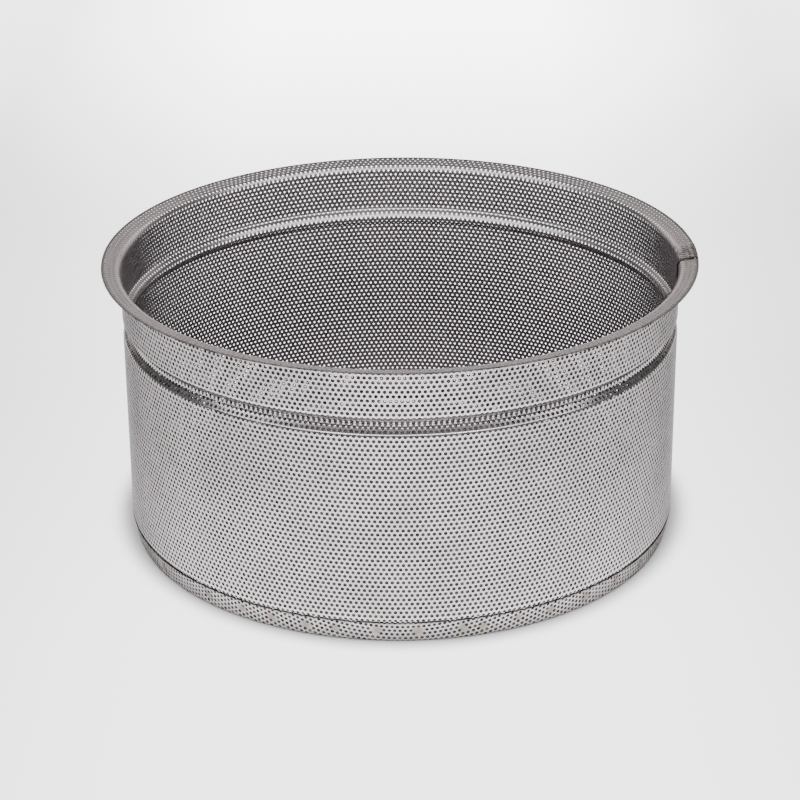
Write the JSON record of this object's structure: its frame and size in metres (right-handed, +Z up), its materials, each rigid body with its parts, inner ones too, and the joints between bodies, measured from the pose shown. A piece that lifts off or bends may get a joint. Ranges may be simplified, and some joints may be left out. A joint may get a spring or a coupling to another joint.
{
  "type": "basket filter",
  "caption": "Round perforated stainless-steel filter basket with a flared rim, a rolled bead under it and a spot-welded base dish.",
  "frame": {"origin": "centre of the base's underside", "axes": "+Z up along the basket's axis to the open rim, +X to the right in the picture, towards the lap seam"},
  "size_m": [0.2262, 0.2262, 0.1103],
  "materials": {
    "sheet_steel": "satin"
  },
  "bodies": {
    "root": {"side_wall": "sheet_steel", "base_dish": "sheet_steel"}
  },
  "joints": []
}
